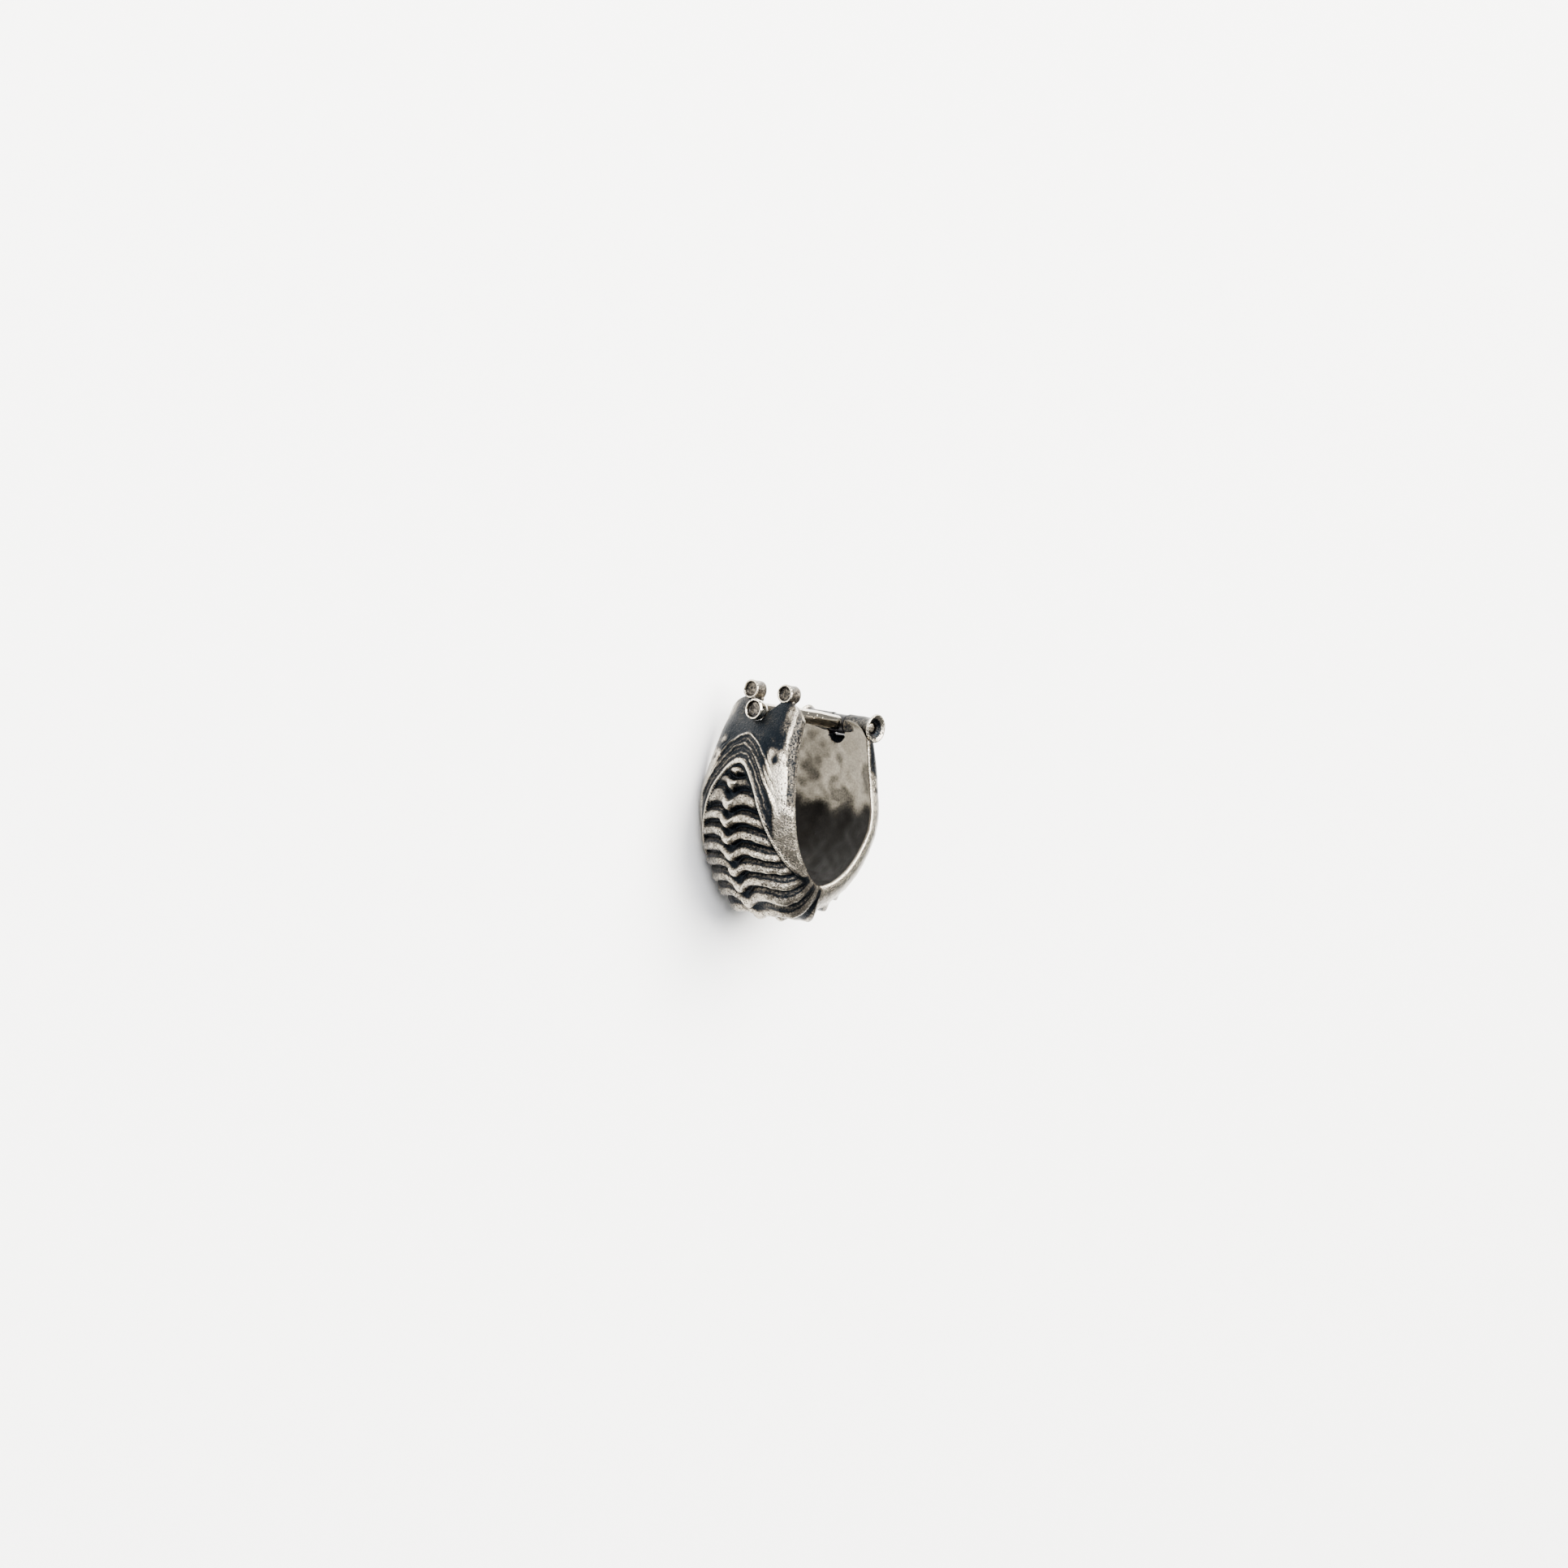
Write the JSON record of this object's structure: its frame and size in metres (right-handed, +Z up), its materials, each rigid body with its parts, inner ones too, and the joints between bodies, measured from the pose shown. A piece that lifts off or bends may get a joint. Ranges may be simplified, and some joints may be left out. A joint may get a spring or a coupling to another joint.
{
  "type": "septum clicker",
  "caption": "Broad horseshoe septum ring in darkened cast silver with a ribbed spine, arched folds and a hinged wearing bar that drops into a notch.",
  "frame": {"origin": "centre of the bounding box, on the surface that the ring lies on", "axes": "+X along the wearing bar from the notched leg to the hinged leg, +Y from the ribbed bottom to the leg tops, +Z up through the opening, across the band"},
  "size_m": [0.0158, 0.0188, 0.0097],
  "materials": {
    "darkened_silver": "cast, oxidised and relief-polished",
    "polished_silver": "polished"
  },
  "bodies": {
    "ring": {"band": "darkened_silver", "hinge_pin": "darkened_silver"},
    "bar": {"bar": "polished_silver"}
  },
  "joints": [
    {"name": "bar_hinge", "type": "hinge", "parent": "ring", "child": "bar", "pos_m": [0.00505, 0.00704, 0.00485], "axis": [0, 0, -1], "range_deg": [0, 100]}
  ]
}
